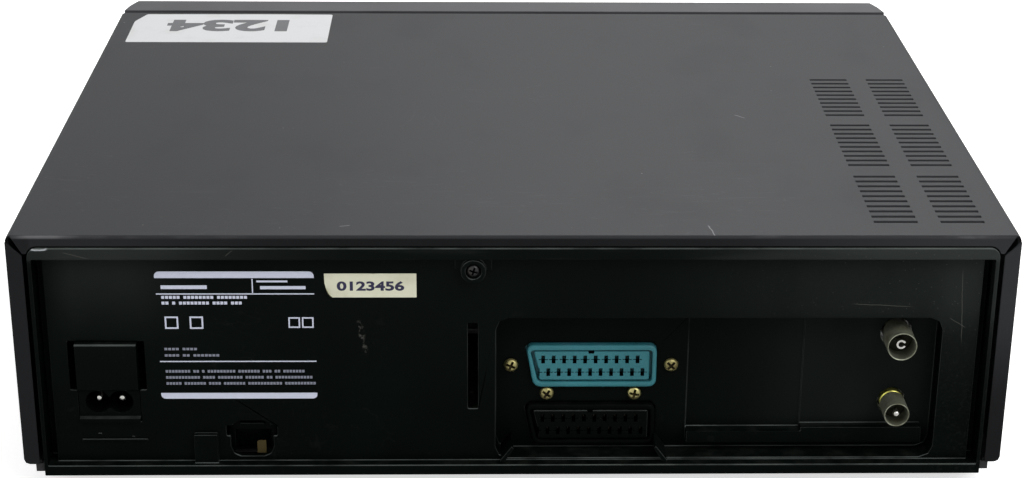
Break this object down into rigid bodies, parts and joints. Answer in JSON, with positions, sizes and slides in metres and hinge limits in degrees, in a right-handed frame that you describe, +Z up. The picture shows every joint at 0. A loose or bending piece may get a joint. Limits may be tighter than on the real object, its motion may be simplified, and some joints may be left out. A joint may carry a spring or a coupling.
{
  "type": "video cassette recorder",
  "caption": "Front-loading video cassette recorder with a slotted steel cover, a recessed rear socket panel and a working tape deck inside",
  "frame": {"origin": "middle of the footprint at foot level", "axes": "+X right seen from the front, -Y to the front with the cassette slot, +Y to the sockets, +Z up"},
  "size_m": [0.355, 0.296, 0.0988],
  "materials": {
    "cover_paint": "satin dark grey paint on folded steel sheet",
    "tray_plastic": "black moulded plastic",
    "foot_rubber": "black rubber",
    "panel_plastic": "near-black moulded plastic, slightly glossy",
    "dark_screw": "blackened steel",
    "screw_brass": "brass-coloured passivated screw",
    "teal_plastic": "teal moulded plastic",
    "tin_plate": "tinned steel sheet",
    "nickel": "dull nickel plating",
    "board": "green lacquered circuit board",
    "core_iron": "laminated iron",
    "bezel_plastic": "grey moulded plastic",
    "smoked_plastic": "smoked glossy plastic",
    "display_glass": "dark display module",
    "button_plastic": "black moulded plastic",
    "deck_steel": "bright steel",
    "carriage_steel": "pressed zinc-plated steel",
    "drum_aluminium": "turned aluminium",
    "belt_rubber": "black rubber",
    "white_plastic": "natural white moulded plastic"
  },
  "bodies": {
    "case": {"top_cover": "cover_paint", "chassis_tray": "tray_plastic", "foot_front_left": "foot_rubber", "foot_front_right": "foot_rubber", "foot_rear_left": "foot_rubber", "foot_rear_right": "foot_rubber", "rear_panel": "panel_plastic", "rear_panel_screw": "dark_screw", "socket_screw_1": "screw_brass", "socket_screw_2": "screw_brass", "socket_screw_3": "screw_brass", "socket_screw_4": "screw_brass", "scart_socket_upper": "teal_plastic", "scart_socket_lower": "panel_plastic", "tuner_can": "tin_plate", "aerial_in_socket": "nickel", "aerial_out_socket": "nickel", "mains_inlet": "panel_plastic", "main_board": "board", "power_board": "board", "transformer": "core_iron", "front_bezel": "bezel_plastic", "display_window": "smoked_plastic", "display_module": "display_glass", "front_board": "board", "deck_chassis": "deck_steel", "lower_drum": "drum_aluminium", "erase_head": "deck_steel", "audio_control_head": "deck_steel", "capstan_motor": "core_iron", "reel_belt": "belt_rubber", "loading_motor": "deck_steel", "loading_frame": "carriage_steel"},
    "flap": {"cassette_flap": "bezel_plastic"},
    "slide_frame": {"slide_frame": "carriage_steel"},
    "holder": {"cassette_holder": "carriage_steel"},
    "drum": {"upper_drum": "drum_aluminium"},
    "capstan": {"capstan": "deck_steel"},
    "clutch": {"clutch_pulley": "white_plastic"},
    "idler_arm": {"idler_arm": "deck_steel"},
    "idler_gear": {"idler_gear": "white_plastic"},
    "supply_reel": {"supply_reel": "white_plastic"},
    "takeup_reel": {"takeup_reel": "white_plastic"},
    "pinch_arm": {"pinch_arm": "deck_steel"},
    "pinch_roller": {"pinch_roller": "belt_rubber"},
    "supply_guide": {"supply_guide": "deck_steel"},
    "takeup_guide": {"takeup_guide": "deck_steel"},
    "cam_gear": {"cam_gear": "white_plastic"},
    "worm": {"loading_worm": "white_plastic"},
    "rewind_button": {"rewind_button": "button_plastic"},
    "play_button": {"play_button": "button_plastic"},
    "fast_forward_button": {"fast_forward_button": "button_plastic"},
    "record_button": {"record_button": "button_plastic"},
    "stop_button": {"stop_button": "button_plastic"},
    "pause_button": {"pause_button": "button_plastic"},
    "power_button": {"power_button": "button_plastic"},
    "eject_button": {"eject_button": "button_plastic"},
    "channel_up_button": {"channel_up_button": "button_plastic"},
    "channel_down_button": {"channel_down_button": "button_plastic"}
  },
  "joints": [
    {"name": "flap_hinge", "type": "hinge", "parent": "case", "child": "flap", "pos_m": [0, -0.1433, 0.0894], "axis": [1, 0, 0], "range_deg": [0, 85], "stiffness_Nm_per_rad": 0.02, "springref_deg": -17.19},
    {"name": "carriage_slide", "type": "slide", "parent": "case", "child": "slide_frame", "axis": [0, 1, 0], "range_m": [0, 0.062]},
    {"name": "holder_drop", "type": "slide", "parent": "slide_frame", "child": "holder", "axis": [0, 0, -1], "range_m": [0, 0.02]},
    {"name": "drum_spin", "type": "hinge", "parent": "case", "child": "drum", "pos_m": [0, 0.036, 0.035], "axis": [0, 0.1038, 0.9946], "continuous": true},
    {"name": "capstan_spin", "type": "hinge", "parent": "case", "child": "capstan", "pos_m": [0.06, 0.008, 0.03], "axis": [0, 0, 1], "continuous": true},
    {"name": "clutch_spin", "type": "hinge", "parent": "case", "child": "clutch", "pos_m": [0, -0.035, 0.02], "axis": [0, 0, 1], "continuous": true},
    {"name": "idler_swing", "type": "hinge", "parent": "case", "child": "idler_arm", "pos_m": [0, -0.035, 0.033], "axis": [0, 0, 1], "range_deg": [-16, 16]},
    {"name": "idler_gear_spin", "type": "hinge", "parent": "idler_arm", "child": "idler_gear", "pos_m": [0, -0.061, 0.036], "axis": [0, 0, 1], "continuous": true},
    {"name": "supply_reel_spin", "type": "hinge", "parent": "case", "child": "supply_reel", "pos_m": [-0.0465, -0.061, 0.036], "axis": [0, 0, 1], "continuous": true},
    {"name": "takeup_reel_spin", "type": "hinge", "parent": "case", "child": "takeup_reel", "pos_m": [0.0465, -0.061, 0.036], "axis": [0, 0, 1], "continuous": true},
    {"name": "pinch_swing", "type": "hinge", "parent": "case", "child": "pinch_arm", "pos_m": [0.08, 0.018, 0.042], "axis": [0, 0, 1], "range_deg": [-31, 0], "stiffness_Nm_per_rad": 0.01, "springref_deg": 11.46},
    {"name": "pinch_roller_spin", "type": "hinge", "parent": "pinch_arm", "child": "pinch_roller", "pos_m": [0.0746, 0.00508, 0.053], "axis": [0, 0, 1], "continuous": true},
    {"name": "cam_turn", "type": "hinge", "parent": "case", "child": "cam_gear", "pos_m": [0.076, 0.046, 0.0403], "axis": [0, 0, 1], "range_deg": [0, 300]},
    {"name": "worm_turn", "type": "hinge", "parent": "case", "child": "worm", "pos_m": [0.076, 0.07, 0.0403], "axis": [1, 0, 0], "continuous": true},
    {"name": "supply_guide_swing", "type": "hinge", "parent": "case", "child": "supply_guide", "pos_m": [0, 0.036, 0.033], "axis": [0, 0, -1], "range_deg": [0, 105]},
    {"name": "takeup_guide_swing", "type": "hinge", "parent": "case", "child": "takeup_guide", "pos_m": [0, 0.036, 0.033], "axis": [0, 0, 1], "range_deg": [0, 105]},
    {"name": "rewind_button_push", "type": "slide", "parent": "case", "child": "rewind_button", "axis": [0, 1, 0], "range_m": [0, 0.0012], "stiffness_N_per_m": 200},
    {"name": "play_button_push", "type": "slide", "parent": "case", "child": "play_button", "axis": [0, 1, 0], "range_m": [0, 0.0012], "stiffness_N_per_m": 200},
    {"name": "fast_forward_button_push", "type": "slide", "parent": "case", "child": "fast_forward_button", "axis": [0, 1, 0], "range_m": [0, 0.0012], "stiffness_N_per_m": 200},
    {"name": "record_button_push", "type": "slide", "parent": "case", "child": "record_button", "axis": [0, 1, 0], "range_m": [0, 0.0012], "stiffness_N_per_m": 200},
    {"name": "stop_button_push", "type": "slide", "parent": "case", "child": "stop_button", "axis": [0, 1, 0], "range_m": [0, 0.0012], "stiffness_N_per_m": 200},
    {"name": "pause_button_push", "type": "slide", "parent": "case", "child": "pause_button", "axis": [0, 1, 0], "range_m": [0, 0.0012], "stiffness_N_per_m": 200},
    {"name": "power_button_push", "type": "slide", "parent": "case", "child": "power_button", "axis": [0, 1, 0], "range_m": [0, 0.0012], "stiffness_N_per_m": 200},
    {"name": "eject_button_push", "type": "slide", "parent": "case", "child": "eject_button", "axis": [0, 1, 0], "range_m": [0, 0.0012], "stiffness_N_per_m": 200},
    {"name": "channel_up_button_push", "type": "slide", "parent": "case", "child": "channel_up_button", "axis": [0, 1, 0], "range_m": [0, 0.0012], "stiffness_N_per_m": 200},
    {"name": "channel_down_button_push", "type": "slide", "parent": "case", "child": "channel_down_button", "axis": [0, 1, 0], "range_m": [0, 0.0012], "stiffness_N_per_m": 200}
  ],
  "couplings": [
    {"joint": "clutch_spin", "follows": "capstan_spin", "ratio": 0.5},
    {"joint": "idler_gear_spin", "follows": "capstan_spin", "ratio": -0.14975},
    {"joint": "supply_guide_swing", "follows": "cam_turn", "ratio": 0.35},
    {"joint": "takeup_guide_swing", "follows": "cam_turn", "ratio": 0.35},
    {"joint": "worm_turn", "follows": "cam_turn", "ratio": 24}
  ]
}
